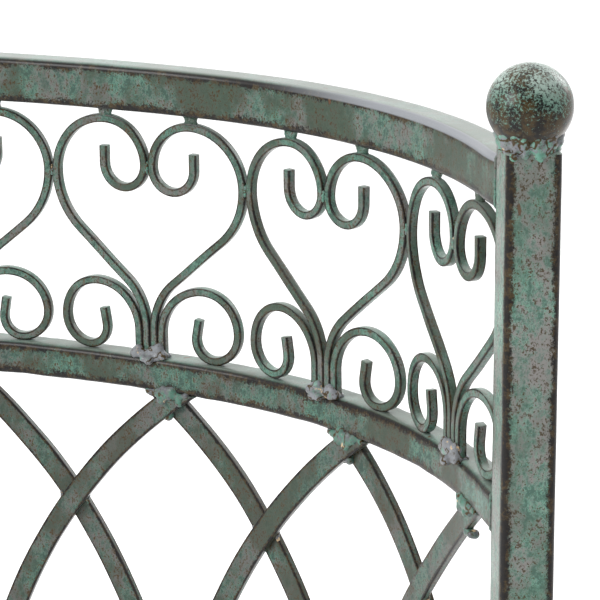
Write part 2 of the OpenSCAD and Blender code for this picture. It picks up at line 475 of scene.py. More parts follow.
def minus(tree, a, b):
    return calc(tree, "SUBTRACT", a, b)


def times(tree, a, b):
    return calc(tree, "MULTIPLY", a, b)


def upward_part(tree):
    """How far the surface faces up, from -1 to 1."""
    return add(tree, "SeparateXYZ", {0: add(tree, "TexCoord").outputs["Normal"]}).outputs["Z"]


def place_in_section(tree):
    """The point's place in the bar's cross-section, across and along it, in millimetres."""
    place = add(tree, "Attribute", attribute_name="section").outputs["Vector"]
    return add(tree, "SeparateXYZ", {0: place}).outputs[:2]


def ramp(tree, value, low, high, to_low=0.0, to_high=1.0):
    """Smooth step from low to high."""
    return add(tree, "MapRange", {
        "Value": value, "From Min": low, "From Max": high, "To Min": to_low, "To Max": to_high,
    }, interpolation_type="SMOOTHSTEP").outputs["Result"]


def blend(tree, mask, first, second):
    """Mixes two colours, the second where the mask is 1."""
    return add(tree, "Mix", {0: mask, 6: first, 7: second}, data_type="RGBA").outputs[2]


def object_noise(tree, scale, detail=3.0, roughness=0.6, stretch=(1.0, 1.0, 1.0), shift=0.0):
    """Noise over the piece's own coordinates; scale is in patches per metre."""
    place = add(tree, "TexCoord").outputs["Object"]
    spread = add(tree, "Mapping", {"Vector": place, "Scale": stretch, "Location": (shift,) * 3})
    return add(tree, "TexNoise", {
        "Vector": spread.outputs[0], "Scale": scale, "Detail": detail, "Roughness": roughness,
    }).outputs["Fac"]


def corner_wear_group():
    """Mask of the bare iron along a bar's corners, and of the dark line right on them."""
    tree, given, made = new_group("Corner wear", [
        ("Half width", "NodeSocketFloat", 12.5), ("Half depth", "NodeSocketFloat", 12.5),
        ("Reach", "NodeSocketFloat", 3.0), ("Ragged", "NodeSocketFloat", 1.0),
    ], [("Bare", "NodeSocketFloat"), ("Rim", "NodeSocketFloat")])
    x, y = place_in_section(tree)
    across = minus(tree, given.outputs["Half width"], calc(tree, "ABSOLUTE", x))
    along = minus(tree, given.outputs["Half depth"], calc(tree, "ABSOLUTE", y))
    distance = calc(tree, "MAXIMUM", across, along)
    coarse = minus(tree, object_noise(tree, 70, 5, 0.75, (1, 1, 0.6)), 0.5)
    fine = minus(tree, object_noise(tree, 800, 3, 0.8), 0.5)
    torn = plus(tree, times(tree, coarse, 2.6), times(tree, fine, 2.6))
    torn = times(tree, torn, given.outputs["Ragged"])
    torn = times(tree, torn, given.outputs["Reach"])
    edge = calc(tree, "DIVIDE", plus(tree, distance, torn), given.outputs["Reach"])
    tree.links.new(ramp(tree, edge, 1.2, 0.75), made.inputs["Bare"])
    tree.links.new(ramp(tree, edge, 0.58, 0.26), made.inputs["Rim"])
    return tree


def patina_group():
    """Mottled paint: green patches, grey bloom and dark speckle, with its thickness."""
    tree, given, made = new_group("Patina", [
        ("Green", "NodeSocketColor", None), ("Deep", "NodeSocketColor", None),
        ("Grey", "NodeSocketColor", None), ("Dark", "NodeSocketColor", None),
        ("Bloom", "NodeSocketFloat", 0.5), ("Speckle", "NodeSocketFloat", 0.5),
        ("Stain", "NodeSocketFloat", 0.5),
    ], [("Colour", "NodeSocketColor"), ("Height", "NodeSocketFloat")])
    patches = object_noise(tree, 42, 6, 0.72, (1, 1, 0.8))
    mottle = object_noise(tree, 210, 5, 0.78, (1, 1, 0.75), 3.1)
    grain = object_noise(tree, 950, 3, 0.8, (1, 1, 0.8), 7.7)
    tone = plus(tree, times(tree, mottle, 0.6), times(tree, grain, 0.4))
    depth = blend(tree, ramp(tree, tone, 0.43, 0.57), given.outputs["Deep"], given.outputs["Green"])
    mixed = plus(tree, times(tree, patches, 0.42), times(tree, mottle, 0.58))
    bloom = ramp(tree, plus(tree, mixed, times(tree, given.outputs["Bloom"], 0.2)),
                 0.54, 0.68)
    painted = blend(tree, bloom, depth, given.outputs["Grey"])
    cloudy = object_noise(tree, 20, 4, 0.65, (1, 1, 0.7), 5.5)
    stain = times(tree, ramp(tree, cloudy, 0.55, 0.43), given.outputs["Stain"])
    dark = blend(tree, 0.4, given.outputs["Deep"], given.outputs["Dark"])
    painted = blend(tree, stain, painted, dark)
    clusters = plus(tree, grain, times(tree, minus(tree, mottle, 0.5), 0.6))
    dots = times(tree, ramp(tree, clusters, 0.54, 0.62), given.outputs["Speckle"])
    tree.links.new(blend(tree, dots, painted, given.outputs["Dark"]), made.inputs["Colour"])
    tree.links.new(minus(tree, mottle, dots), made.inputs["Height"])
    return tree


def forged_group():
    """Height of a forged surface: shallow dents with a fine grain over them."""
    tree, given, made = new_group("Forged relief", [
        ("Dents", "NodeSocketFloat", 0.6), ("Grain", "NodeSocketFloat", 0.4),
    ], [("Height", "NodeSocketFloat")])
    dents = times(tree, object_noise(tree, 110, 2, 0.5, (1, 1, 0.7)), given.outputs["Dents"])
    grain = times(tree, object_noise(tree, 900, 4, 0.7), given.outputs["Grain"])
    tree.links.new(plus(tree, dents, grain), made.inputs["Height"])
    return tree


def rgba(value):
    return (*value, 1.0)


def use_group(tree, name, inputs):
    makers = {"Corner wear": corner_wear_group, "Patina": patina_group, "Forged relief": forged_group}
    made = tree.nodes.new("ShaderNodeGroup")
    made.node_tree = bpy.data.node_groups.get(name) or makers[name]()
    feed(tree, made, inputs)
    return made.outputs


def start_material(name):
    material = bpy.data.materials.get(name)
    if material:
        return material, None, None
    material = bpy.data.materials.new(name)
    material.use_nodes = True
    tree = material.node_tree
    return material, tree, tree.nodes["Principled BSDF"]


def painted_iron(name, width, depth, reach, ragged, bloom, speckle, stain, shade, dents=0.5,
                 lit_corner=False):
    """Weathered green paint on a bar of this width and depth, worn bare along its corners.

    reach is the worn band's width and ragged its unevenness. bloom, speckle and stain are how much
    of each the paint has, shade how light it is, and dents how deep the hammer marks are."""
    material, tree, shader = start_material(name)
    if tree is None:
        return material
    tone = colours()
    wear = use_group(tree, "Corner wear", {
        "Half width": width / 2 / MM, "Half depth": depth / 2 / MM, "Reach": reach / MM,
        "Ragged": ragged})
    paint = use_group(tree, "Patina", {
        "Green": rgba(Vector(tone.green) * shade), "Deep": rgba(Vector(tone.deep_green) * shade),
        "Grey": rgba(Vector(tone.grey) * shade), "Dark": rgba(tone.bare), "Bloom": bloom,
        "Speckle": speckle, "Stain": stain})
    relief = use_group(tree, "Forged relief", {"Dents": dents, "Grain": 0.35})
    iron = blend(tree, ramp(tree, object_noise(tree, 240, 4, 0.7, shift=5.0), 0.42, 0.6),
                 rgba(tone.black), rgba(tone.bare))
    iron = blend(tree, wear["Rim"], iron, rgba(tone.black))
    chips = ramp(tree, object_noise(tree, 85, 3, 0.6, (1, 1, 0.5), 11.0), 0.70, 0.73)
    iron = blend(tree, times(tree, chips, 0.8), iron, rgba(tone.rust))
    upward = upward_part(tree)
    bare = times(tree, wear["Bare"], ramp(tree, upward, 0.6, 0.95, 1.0, 0.1))
    bare = calc(tree, "MAXIMUM", bare, times(tree, chips, 0.85))
    # Upward faces are mixed towards pale green, a painted highlight on the top faces.
    coat_and_top_highlight = blend(tree, ramp(tree, upward, 0.75, 0.98, 0.0, 0.3), paint["Colour"], rgba(tone.pale))
    finish = blend(tree, bare, coat_and_top_highlight, iron)
    # lit_corner adds a painted highlight in lilac grey on the top rail's rounded upper corner beside the
    # posts.
    if lit_corner:
        finish = blend(tree, corner_highlight_by_post(tree), finish, rgba(tone.lilac))
    tree.links.new(finish, shader.inputs["Base Color"])
    tree.links.new(ramp(tree, bare, 0.0, 1.0, 0.55, 0.42), shader.inputs["Roughness"])
    height = minus(tree, relief["Height"], times(tree, bare, 0.35))
    height = plus(tree, height, times(tree, paint["Height"], 0.25))
    bump = add(tree, "Bump", {"Strength": 0.35, "Distance": 0.0006, "Height": height})
    tree.links.new(bump.outputs[0], shader.inputs["Normal"])
    satin(shader)
    return material


def satin(shader):
    """Thin satin sheen that shows on faces seen at a low angle."""
    shader.inputs["Specular IOR Level"].default_value = 0.1
    shader.inputs["Coat Weight"].default_value = 1.0
    shader.inputs["Coat Roughness"].default_value = 0.22
    shader.inputs["Coat IOR"].default_value = 1.2


def corner_highlight_by_post(tree):
    """Mask of the upper corner of the top rail beside the posts, where a painted highlight in lilac grey
    goes on its rounded edge.
    """
    size = panel_sizes()
    x, y = place_in_section(tree)
    across = plus(tree, x, size.top_width / 2 / MM)
    along = plus(tree, y, size.top_height / 2 / MM)
    corner = ramp(tree, plus(tree, across, along), 3.4, 2.6)
    side = calc(tree, "ABSOLUTE", add(tree, "SeparateXYZ", {
        0: add(tree, "TexCoord").outputs["Object"]}).outputs[0])
    near = ramp(tree, side, 0.38, 0.44)
    return times(tree, corner, near)


def ball_iron():
    """Dark iron ball, with green paint left in a fine speckle over its upper half, and a painted highlight
    in pale green on its top.
    """
    material, tree, shader = start_material("Finial iron")
    if tree is None:
        return material
    tone = colours()
    fine = object_noise(tree, 860, 4, 0.75)
    coarse = object_noise(tree, 60, 4, 0.65, shift=2.0)
    upward = upward_part(tree)
    amount = plus(tree, times(tree, upward, 0.13), times(tree, coarse, 0.45))
    kept = plus(tree, fine, amount)
    mask = ramp(tree, kept, 0.755, 0.865)
    iron = blend(tree, ramp(tree, object_noise(tree, 150, 4, 0.7, shift=9.0), 0.4, 0.62),
                 rgba(tone.black), rgba(tone.bare))
    # The paint turns pale green towards the top of the ball, a painted highlight.
    high = plus(tree, upward, times(tree, minus(tree, coarse, 0.5), 1.2))
    flakes = Vector(tone.green).lerp(Vector(tone.grey), 0.4) * 0.85
    paint = blend(tree, ramp(tree, high, 0.35, 1.05), rgba(flakes), rgba(Vector(tone.pale) * 0.9))
    tree.links.new(blend(tree, mask, iron, paint), shader.inputs["Base Color"])
    tree.links.new(ramp(tree, mask, 0.0, 1.0, 0.40, 0.55), shader.inputs["Roughness"])
    relief = use_group(tree, "Forged relief", {"Dents": 0.8, "Grain": 0.4})
    height = plus(tree, relief["Height"], times(tree, mask, 0.5))
    bump = add(tree, "Bump", {"Strength": 0.4, "Distance": 0.0006, "Height": height})
    tree.links.new(bump.outputs[0], shader.inputs["Normal"])
    satin(shader)
    return material


def weld_metal(name, tan, green, shade):
    """Lumpy weld: lilac-grey metal and green paint, outlined in brown, with tan residue."""
    material, tree, shader = start_material(name)
    if tree is None:
        return material
    tone = colours()
    coarse = object_noise(tree, 120, 3, 0.6)
    fine = object_noise(tree, 480, 4, 0.75, shift=4.0)
    mixed = plus(tree, times(tree, coarse, 0.6), times(tree, fine, 0.4))
    paint = blend(tree, ramp(tree, mixed, 0.60 - 0.2 * green, 0.68 - 0.2 * green),
                  rgba(Vector(tone.lilac) * shade), rgba(Vector(tone.green) * shade))
    paint = blend(tree, times(tree, ramp(tree, fine, 0.5, 0.6), 0.6), paint, rgba(tone.grey))
    lines = calc(tree, "ABSOLUTE", minus(tree, object_noise(tree, 95, 3, 0.5, shift=6.0), 0.5))
    outline = ramp(tree, lines, 0.030, 0.008)
    body = blend(tree, outline, paint, rgba(tone.bare))
    specks = ramp(tree, object_noise(tree, 650, 3, 0.8, shift=2.0), 0.56, 0.64)
    body = blend(tree, times(tree, specks, 0.7), body, rgba(tone.bare))
    residue = ramp(tree, object_noise(tree, 190, 3, 0.6, shift=8.0), 0.68 - 0.2 * tan, 0.74 - 0.2 * tan)
    tree.links.new(blend(tree, residue, body, rgba(tone.tan)), shader.inputs["Base Color"])
    shader.inputs["Roughness"].default_value = 0.42
    height = minus(tree, plus(tree, coarse, times(tree, fine, 0.4)),
                  times(tree, outline, 0.3))
    bump = add(tree, "Bump", {"Strength": 0.5, "Distance": 0.0007, "Height": height})
    tree.links.new(bump.outputs[0], shader.inputs["Normal"])
    satin(shader)
    return material


# ---------------------------------------------------------------- pieces

class TRELLIS_OT_posts(bpy.types.Operator):
    """Two square posts and the two back feet, with rounded corners and slightly uneven faces"""
    bl_idname = "trellis.posts"
    bl_label = "Posts and feet"

    def execute(self, context):
        size, plan = panel_sizes(), Plan(panel_sizes())
        material = painted_iron(
            "Painted post", size.post_width, size.post_width, reach=3.9 * MM, ragged=0.7,
            bloom=0.6, speckle=0.9, stain=0.4, shade=1.5)

        def tube(name, height):
            return bend_bar(
                name, (0.0, 0.0), UP, [[height - 1 * MM]], size.post_width, size.post_width,
                size.post_rounding, 5 * MM, rings=4, cuts=5, ease=1 * MM)

        tall = tube("tall tube", size.post_height)
        for side, name in ((1, "right_post"), (-1, "left_post")):
            post = copy_of(tall, "post_" + name.split("_")[0], Matrix.Translation(
                (side * plan.post_x, plan.post_y, 0.0)))
            hand_worked(post, 0.0, 0.35 * MM, 0.03)
            settle(post, material, PAINTED, name)
        low = tube("low tube", size.foot_height)
        feet = []
        for hearts_along in (size.foot_at, size.hearts - size.foot_at):
            s = hearts_along * size.heart_pitch
            feet.append(copy_of(low, "foot", plan.on_rail(s, 0.0)))
        feet = joined(feet, "feet")
        settle(feet, material, PAINTED, "back_feet")
        remove(tall, low)
        return {"FINISHED"}


class TRELLIS_OT_finials(bpy.types.Operator):
    """Ball finials and the lumpy weld collars that hold them to the posts"""
    bl_idname = "trellis.finials"
    bl_label = "Finials"

    def execute(self, context):
        size, plan = panel_sizes(), Plan(panel_sizes())
        ball_z = size.post_height + size.ball / 2 - size.ball_flat
        bpy.ops.object.select_all(action="DESELECT")
        bpy.ops.mesh.primitive_uv_sphere_add(segments=96, ring_count=64, radius=size.ball / 2 - 0.1 * MM)
        ball = bpy.context.object
        edit_all(ball)
        bpy.ops.mesh.bisect(
            plane_co=(0, 0, size.post_height - ball_z), plane_no=(0, 0, 1), use_fill=True,
            clear_inner=True)
        leave_edit()
        chance = random.Random(5)
        ring = size.collar / 2 - 2.6 * MM
        balls = []
        for i in range(20):
            turn = i / 20 * math.tau + chance.uniform(-0.1, 0.1)
            x, y = math.cos(turn), math.sin(turn)
            reach = ring * (1 + 0.12 * (1 / max(abs(x), abs(y)) - 1))
            for out, low, high, thick in (
                    (0.0, -0.4, 0.6, 2.6), (0.8, 2.6, 3.8, 3.1), (1.9, 5.8, 7.4, 2.5)):
                balls.append(((reach + out * MM) * x, (reach + out * MM) * y,
                              chance.uniform(low, high) * MM, thick * chance.uniform(0.9, 1.1) * MM))
        for x, z, radius in ((-4.5, -1.2, 1.9), (1.5, -1.6, 2.3), (2.4, -3.2, 1.5), (-9.5, -1.5, 2.2)):
            balls.append((x * MM, -size.post_width / 2 + 0.3 * MM, z * MM, radius * MM))
        collar = lumps("collar", balls, 0.6 * MM, 0.8 * MM, 6)
        collars = []
        for side, name in ((1, "right_finial"), (-1, "left_finial")):
            at = (side * plan.post_x, plan.post_y)
            made = copy_of(ball, "ball_" + name.split("_")[0], Matrix.Translation((*at, ball_z)))
            hand_worked(made, 0.0, 0.30 * MM, 0.009)
            settle(made, ball_iron(), BARE, name)
            collars.append(copy_of(collar, "collar side", Matrix.Translation(
                (*at, size.post_height))))
        collars = joined(collars, "collars")
        settle(collars, weld_metal("Collar weld", tan=0.1, green=0.7, shade=0.85), BARE, "weld_collars")
        remove(ball, collar)
        return {"FINISHED"}


class TRELLIS_OT_rails(bpy.types.Operator):
    """Top, middle and bottom rails, each bent to the bow of the panel"""
    bl_idname = "trellis.rails"
    bl_label = "Rails"

    def execute(self, context):
        size, plan = panel_sizes(), Plan(panel_sizes())
        top = (size.top_width, size.top_height)
        low = (size.low_width, size.low_height)
        for name, node, z, (width, height) in (
                ("rail_top", "top_rail", plan.top_z, top),
                ("rail_middle", "middle_rail", plan.mid_z, low),
                ("rail_bottom", "bottom_rail", plan.low_z, low)):
            rail = bend_bar(
                name, (plan.end_x + plan.end_radius, plan.rail_y), UP,
                [[plan.end_radius, plan.end_angle], [plan.mid_radius, plan.mid_angle],
                 [plan.end_radius, plan.end_angle]],
                width, height, size.rail_rounding, 3 * MM, rings=4, cuts=4)
            self.tuck_ends(rail, plan, size, width)
            put(rail, Matrix.Translation((0, 0, z + height / 2)) @ Matrix.Rotation(DOWN, 4, "X"))
            if node == "top_rail":
                material = painted_iron(
                    "Painted top rail", width, height, reach=4.2 * MM, ragged=1.0, bloom=0.5,
                    speckle=1.0, stain=0.85, shade=0.85, lit_corner=True)
                hand_worked(rail, 0.0, 0.4 * MM, 0.025)
            else:
                material = painted_iron(
                    "Painted low rail", width, height, reach=4.4 * MM, ragged=1.1, bloom=0.4,
                    speckle=1.0, stain=0.85, shade=0.73, dents=1.0)
                hand_worked(rail, 0.0, 1.1 * MM, 0.014)
            settle(rail, material, PAINTED, node)
        return {"FINISHED"}

    def tuck_ends(self, rail, plan, size, width):
        """Draws the hollow side of both ends in, flush with the posts."""
        proud = size.post_offset + width / 2 - size.post_width / 2
        for point in rail.data.vertices:
            inward = plan.end_x + plan.end_radius - abs(point.co.x)
            along = (point.co.z - plan.rail_y) / TUCK_LENGTH
            if along < 1 and inward > 0:
                shift = (proud + 0.3 * MM) * (1 - along) ** 2 * min(1.0, inward / (width / 2))
                point.co.x += math.copysign(shift, point.co.x)


def scroll_material():
    bar = bar_sizes().bar
    return painted_iron(
        "Painted scroll bar", bar, bar, reach=0.85 * MM, ragged=0.8, bloom=0.5, speckle=0.9,
        stain=0.75, shade=0.9)


def arch_pitch(plan):
    """Distance along the rails from one arch head to the next."""
    return (plan.length - 2 * bar_sizes().lattice_start) / (panel_sizes().hearts - 1)


def heart_moves(width):
    """Start and moves of the right half of a heart of this width, and its two radii on top."""
    size, bar = panel_sizes(), bar_sizes()
    inner = (bar.bar + bar.gap) / 2
    lobe_top = size.frieze_height - bar.peg_height - bar.bar / 2
    span = (width - bar.bar) / 2 - inner
    inner_radius = bar.lobe_share * span
    outer_radius = span - inner_radius
    drop = lobe_top - outer_radius - bar.foot_run
    largest = (span ** 2 + drop ** 2) / (2 * span)
    flank, toe = bar.flank_share * largest, bar.toe_share * largest
    run = math.sqrt((span - flank - toe) ** 2 + drop ** 2 - (flank + toe) ** 2)
    lean = math.atan2(span - flank - toe, drop) + math.atan2(flank + toe, run)
    start = (inner + 2 * bar.hook_radius, lobe_top - inner_radius + bar.hook_end)
    moves = [[bar.hook_end], [bar.hook_radius, -math.pi], [inner_radius, DOWN],
             [outer_radius, DOWN], [flank, -lean], [run], [toe, lean], [bar.foot_run]]
    return start, moves, inner_radius, outer_radius, lobe_top


def heart_width(plan, k):
    """Width of heart k on its own chord, between its slanting neighbours."""
    size, bar = panel_sizes(), bar_sizes()
    s0, s1 = (k - 1) * size.heart_pitch, k * size.heart_pitch
    slant = (plan.turn(s1) - plan.turn(s0)) / 2
    return plan.chord(s0, s1) - bar.bar * math.tan(slant) - bar.gap


def scroll_half(name, at, heading, moves, ease):
    bar = bar_sizes().bar
    return bend_bar(name, at, heading, moves, bar, bar, 0.6 * MM, 2.2 * MM, 2, 2, ease)


class TRELLIS_OT_hearts(bpy.types.Operator):
    """Heart scrolls of the frieze, each bent from two halves of square bar"""
    bl_idname = "trellis.hearts"
    bl_label = "Hearts"

    def execute(self, context):
        size, plan = panel_sizes(), Plan(panel_sizes())
        shapes = {}
        for k in range(1, size.hearts + 1):
            width = round(heart_width(plan, k), 5)
            if width not in shapes:
                start, moves = heart_moves(width)[:2]
                half = scroll_half("heart half", start, DOWN, moves, 0.5 * MM)
                apply_modifier(half, "MIRROR", use_mirror_merge=False)
                shapes[width] = half
            heart = copy_of(shapes[width], f"heart_{k}", plan.on_heart(k))
            hand_worked(heart, 2.2 * MM, 0.18 * MM)
            settle(heart, scroll_material(), PAINTED, f"heart_scroll_{k}")
        remove(*shapes.values())
        return {"FINISHED"}


class TRELLIS_OT_small_scrolls(bpy.types.Operator):
    """Pairs of small scrolls that stand beside the foot of each heart"""
    bl_idname = "trellis.small_scrolls"
    bl_label = "Small scrolls"

    def execute(self, context):
        size, bar, plan = panel_sizes(), bar_sizes(), Plan(panel_sizes())
        start = (1.5 * (bar.bar + bar.gap), 0.0)
        low = bar.base_run + bar.base_radius * (1 - bar.base_tighten) - bar.bar / 2 - bar.gap
        half = scroll_half("small scroll half", start, UP, [
            [bar.base_run], [bar.base_radius, DOWN], [bar.base_radius * bar.base_tighten, DOWN],
            [low, DOWN], [low * bar.base_curl, DOWN - bar.base_flare], [bar.base_end]], 0.5 * MM)
        apply_modifier(half, "MIRROR", use_mirror_merge=False)
        for k in range(1, size.hearts + 1):
            pair = copy_of(half, f"small_scrolls_{k}", plan.on_heart(k))
            hand_worked(pair, 2.2 * MM, 0.18 * MM)
            settle(pair, scroll_material(), PAINTED, f"base_scrolls_{k}")
        remove(half)
        return {"FINISHED"}


class TRELLIS_OT_lattice(bpy.types.Operator):
    """Flat bars that rise from the bottom rail and interlace in pointed arches, in two layers"""
    bl_idname = "trellis.lattice"
    bl_label = "Lattice"

    def execute(self, context):
        size, bar, plan = panel_sizes(), bar_sizes(), Plan(panel_sizes())
        material = painted_iron(
            "Painted flat bar", bar.lattice_width, bar.lattice_depth, reach=1.3 * MM, ragged=0.9,
            bloom=0.6, speckle=1.0, stain=0.8, shade=0.70)
        pitch = arch_pitch(plan)
        front = bar.lattice_inset - size.low_width / 2 + bar.lattice_depth / 2
        layers = (("front", 1, front),
                  ("back", -1, front + bar.lattice_depth + bar.lattice_gap))
        shapes = {}
        for k in range(1, size.hearts):
            s0 = bar.lattice_start + (k - 1) * pitch
            chord = round(plan.chord(s0, s0 + pitch), 5)
            if chord not in shapes:
                shapes[chord] = self.arch(chord, plan)
            for layer, side, out in layers:
                made = copy_of(shapes[chord], f"lattice_{layer}_{k}", Matrix.Identity(4))
                self.roll(made, plan, s0, s0 + pitch, chord, side, out)
                hand_worked(made, 1.6 * MM, 0.22 * MM, 0.02)
                settle(made, material, PAINTED, f"{layer}_lattice_bar_{k}")
        remove(*shapes.values())
        return {"FINISHED"}

    def arch(self, chord, plan):
        """One bar drawn flat: up its leg at x = chord and over to the arch head at x = 0."""
        bar = bar_sizes()
        depth = bar.head_drop + bar.arch_radius * math.sin(math.acos(1 - chord / bar.arch_radius))
        beyond = math.asin(depth / (bar.arch_radius - bar.lattice_width / 2)) + 0.02
        piece = bend_bar(
            "arch", (chord, -plan.leg_height), UP,
            [[plan.leg_height - depth], [bar.arch_radius, beyond]],
            bar.lattice_width, bar.lattice_depth, 0.6 * MM, 5 * MM, 2, 5)
        edit_all(piece)
        bpy.ops.mesh.bisect(plane_co=(0, 0, 0), plane_no=(0, 0, 1), use_fill=True, clear_outer=True)
        leave_edit()
        return piece

    def roll(self, piece, plan, s0, s1, chord, side, out):
        """Lays the flat bar round the bow, its head at s0, or at s1 on the back layer."""
        for point in piece.data.vertices:
            reach = point.co.x / chord * (s1 - s0)
            s = s0 + reach if side > 0 else s1 - reach
            at = plan.point(s, out + point.co.y)
            point.co = (at.x, at.y, plan.mid_z + point.co.z)
        if side > 0:
            face_outward(piece)


class TRELLIS_OT_welds(bpy.types.Operator):
    """Pegs and weld beads: over the hearts, between them, at their feet and at the arch heads"""
    bl_idname = "trellis.welds"
    bl_label = "Welds"

    def execute(self, context):
        size, bar, plan = panel_sizes(), bar_sizes(), Plan(panel_sizes())
        self.pegs(size, bar, plan)
        self.contacts(size, bar, plan)
        self.heart_feet(size, bar, plan)
        self.arch_heads(size, bar, plan)
        self.crossings(size, bar, plan)
        self.rail_ends(size, plan)
        return {"FINISHED"}

    def pegs(self, size, bar, plan):
        """A stub of weld from each lobe up to the top rail, wider where it meets the rail."""
        stub = lumps("stub", in_mm(
            (0, 0, 1.6, 2.4), (-2.0, 0.2, 2.6, 1.9), (1.9, -0.2, 2.7, 2.0), (-3.3, 0, 4.1, 1.4),
            (3.0, 0, 4.2, 1.5), (0, 0, 4.0, 1.9), (2.6, 0.1, 0.4, 1.4), (-2.7, 0, 0.2, 1.3)),
            0.4 * MM, 0.6 * MM)
        made = []
        foot = size.frieze_height - bar.peg_height - 0.8 * MM
        for k in range(1, size.hearts + 1):
            radii = heart_moves(heart_width(plan, k))[2:4]
            x = (bar.bar + bar.gap) / 2 + radii[0]
            place = plan.on_heart(k)
            for side in (-1, 1):
                made.append(copy_of(stub, "stub copy", place @ Matrix.Translation(
                    (side * x, 0.0, foot)) @ Matrix.Diagonal((side, 1, 1, 1))))
        pegs = joined(made, "pegs")
        self.settle_welds(pegs, scroll_material(), "frieze_pegs")
        remove(stub)

    def contacts(self, size, bar, plan):
        """Small beads where hearts touch each other and where the two lobes of a heart touch."""
        bead = lumps("bead", in_mm(
            (0, -1.9, 0, 1.3), (0.2, -1.7, 2.0, 1.1), (-0.2, -1.8, -2.2, 1.2), (0, 1.8, 0.5, 1.3),
            (0.1, 1.7, -1.8, 1.1), (0, 0, -3.4, 1.2), (0, 0, 3.2, 1.1)), 0.35 * MM, 0.4 * MM)
        made = []
        for k in range(1, size.hearts + 1):
            inner, outer, top = heart_moves(heart_width(plan, k))[2:]
            place = plan.on_heart(k)
            made.append(copy_of(bead, "lobe bead", place @ Matrix.Translation((0, 0, top - inner))))
            if k < size.hearts:
                place = plan.on_rail(k * plan.pitch, plan.frieze_z + top - outer)
                flip = Matrix.Rotation(math.pi * (k % 2), 4, "Y")
                made.append(copy_of(bead, "heart bead", place @ flip))
        beads = joined(made, "heart_welds")
        self.settle_welds(beads, weld_metal("Bead weld", tan=0.35, green=0.9, shade=0.6))
        remove(bead)

    def heart_feet(self, size, bar, plan):
        """A lumpy run of weld over the four bars that stand side by side on the middle rail."""
        chance = random.Random(11)
        reach = 2 * (bar.bar + bar.gap)
        made = []
        for k in range(1, size.hearts + 1):
            balls = []
            for i in range(7):
                x = (-0.9 + 0.3 * i) * reach + chance.uniform(-0.5, 0.5) * MM
                balls.append((x, chance.uniform(-3.0, -2.0) * MM, chance.uniform(0.4, 1.8) * MM,
                              chance.uniform(2.6, 3.4) * MM))
                balls.append((x, 1.8 * MM, 0.3 * MM, 2.2 * MM))
            for _ in range(6):
                balls.append((chance.uniform(-0.75, 0.75) * reach, -2.4 * MM,
                              chance.uniform(2.6, 5.6) * MM, chance.uniform(2.6, 3.6) * MM))
            for _ in range(3):
                balls.append((chance.uniform(-0.6, 0.6) * reach, -size.low_width / 2 + 1.6 * MM,
                              chance.uniform(-1.6, -0.2) * MM, chance.uniform(2.0, 2.8) * MM))
            blob = lumps("foot blob", balls, 0.65 * MM, 0.7 * MM, 8)
            put(blob, plan.on_heart(k))
            made.append(blob)
        feet = joined(made, "heart_foot_welds")
        self.settle_welds(feet, weld_metal("Foot weld", tan=0.2, green=0.25, shade=0.9))

    def arch_heads(self, size, bar, plan):
        """Heavy blobs that hold the arch heads under the middle rail."""
        chance = random.Random(23)
        pitch = arch_pitch(plan)
        front = -size.low_width / 2 + bar.lattice_inset
        made = []
        for j in range(size.hearts):
            balls = []
            for i in range(9):
                x = (-12 + 3 * i + chance.uniform(-0.8, 0.8)) * MM
                high = 1 - abs(x) / (15 * MM)
                balls.append((x, front + chance.uniform(0.0, 1.2) * MM,
                              chance.uniform(-1.4, 0.6) * MM, (1.8 + 1.3 * high) * MM))
                balls.append((x * 0.8, front + 6.5 * MM, -1.0 * MM, 2.4 * MM))
            for _ in range(8):
                balls.append((chance.uniform(-7, 8) * MM, front + chance.uniform(0.2, 1.0) * MM,
                              chance.uniform(-6.5, 4.2) * MM, chance.uniform(2.4, 3.4) * MM))
            notch = bar.head_drop + 1.25 * bar.lattice_width / 2 + 1.0 * MM
            for _ in range(4):
                balls.append((chance.uniform(-3.4, 3.4) * MM, front + chance.uniform(1.8, 4.2) * MM,
                              -notch - chance.uniform(-3.0, 0.5) * MM, chance.uniform(2.2, 3.1) * MM))
            blob = lumps("head blob", balls, 0.7 * MM, 0.9 * MM, 7)
            put(blob, plan.on_rail(bar.lattice_start + j * pitch, plan.mid_z))
            made.append(blob)
        heads = joined(made, "arch_head_welds")
        self.settle_welds(heads, weld_metal("Head weld", tan=0.1, green=0.85, shade=0.52))

    def crossings(self, size, bar, plan):
        """Small beads on both sides of the place where a front bar crosses a back bar."""
        pitch = arch_pitch(plan)
        bead = lumps("side bead", in_mm(
            (0, 0, 0, 1.5), (0.6, 0.3, 2.0, 1.1), (0.5, 0.3, -2.0, 1.2), (-1.2, 0.2, 0.4, 0.9)),
            0.4 * MM, 0.5 * MM)
        out = bar.lattice_inset - size.low_width / 2 + bar.lattice_depth
        made = []
        for k in range(1, size.hearts):
            chord = plan.chord(bar.lattice_start + (k - 1) * pitch, bar.lattice_start + k * pitch)
            lean = math.acos(1 - chord / bar.arch_radius)
            centre = -bar.head_drop - bar.arch_radius * math.sin(lean)
            rise = math.acos(1 - chord / 2 / bar.arch_radius)
            z = plan.mid_z + centre + bar.arch_radius * math.sin(rise)
            side = bar.lattice_width / 2 / math.cos(rise)
            for way in (-1, 1):
                s = bar.lattice_start + (k - 0.5) * pitch - way * side
                made.append(copy_of(bead, "side bead copy", plan.on_rail(s, z, out)
                                    @ Matrix.Diagonal((way, 1, 1, 1))))
        beads = joined(made, "crossing_welds")
        self.settle_welds(beads, weld_metal("Crossing weld", tan=0.75, green=0.4, shade=0.6))
        remove(bead)

